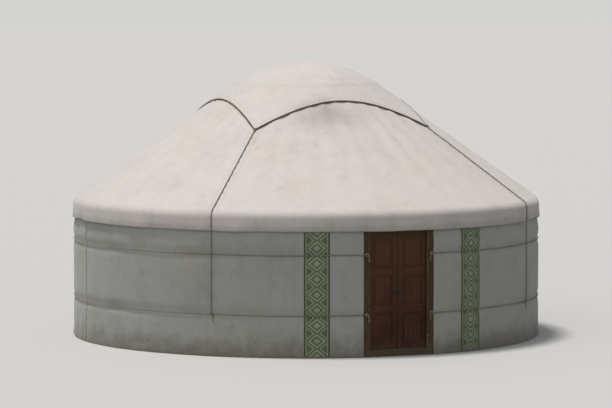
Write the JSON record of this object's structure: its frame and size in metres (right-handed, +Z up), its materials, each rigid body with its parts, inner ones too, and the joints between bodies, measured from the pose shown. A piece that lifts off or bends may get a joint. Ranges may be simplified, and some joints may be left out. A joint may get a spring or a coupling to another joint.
{
  "type": "yurt",
  "caption": "Felt-covered yurt with a folding lattice wall, bent roof poles, a domed crown under a square felt and a two-leaf wooden door.",
  "frame": {"origin": "on the yurt's upright axis, at ground level", "axes": "+Z up, -Y out through the door, +X to the right of someone who faces the door"},
  "size_m": [5.6118, 5.6118, 3.2662],
  "materials": {
    "wall_felt": "matte",
    "roof_felt": "matte",
    "cover_felt": "matte",
    "side_band": "matte",
    "woven_band": "matte",
    "rope": "matte",
    "lattice_wood": "satin",
    "pole_wood": "satin",
    "crown_wood": "satin",
    "frame_paint": "satin",
    "leaf_paint": "satin",
    "iron": "matte"
  },
  "bodies": {
    "house": {"crown_bars": "crown_wood", "crown_cover": "cover_felt", "crown_rim_1": "crown_wood", "crown_rim_2": "crown_wood", "crown_rim_3": "crown_wood", "crown_rim_4": "crown_wood", "crown_rope_back_left": "rope", "crown_rope_back_right": "rope", "crown_rope_front_left": "rope", "crown_rope_front_right": "rope", "door_band_left": "side_band", "door_band_right": "side_band", "door_jamb_left": "frame_paint", "door_jamb_right": "frame_paint", "door_lintel": "frame_paint", "door_threshold": "frame_paint", "girth_rope_lower": "rope", "girth_rope_upper": "rope", "lattice_section_1": "lattice_wood", "lattice_section_2": "lattice_wood", "lattice_section_3": "lattice_wood", "lattice_section_4": "lattice_wood", "lattice_section_5": "lattice_wood", "lattice_section_6": "lattice_wood", "roof_felt_back": "roof_felt", "roof_felt_front": "roof_felt", "roof_felt_left": "roof_felt", "roof_felt_right": "roof_felt", "roof_poles_back_left": "pole_wood", "roof_poles_back_right": "pole_wood", "roof_poles_left": "pole_wood", "roof_poles_right": "pole_wood", "tension_band": "woven_band", "wall_felt_back_left": "wall_felt", "wall_felt_back_right": "wall_felt", "wall_felt_left": "wall_felt", "wall_felt_right": "wall_felt"},
    "left_leaf": {"door_leaf_left": "leaf_paint", "door_pull_left": "iron"},
    "right_leaf": {"door_leaf_right": "leaf_paint", "door_pull_right": "iron"}
  },
  "joints": [
    {"name": "left_leaf_hinge", "type": "hinge", "parent": "house", "child": "left_leaf", "pos_m": [-0.3475, -2.69742, 0.75], "axis": [0, 0, 1], "range_deg": [0, 90]},
    {"name": "right_leaf_hinge", "type": "hinge", "parent": "house", "child": "right_leaf", "pos_m": [0.3475, -2.69742, 0.75], "axis": [0, 0, -1], "range_deg": [0, 90]}
  ]
}
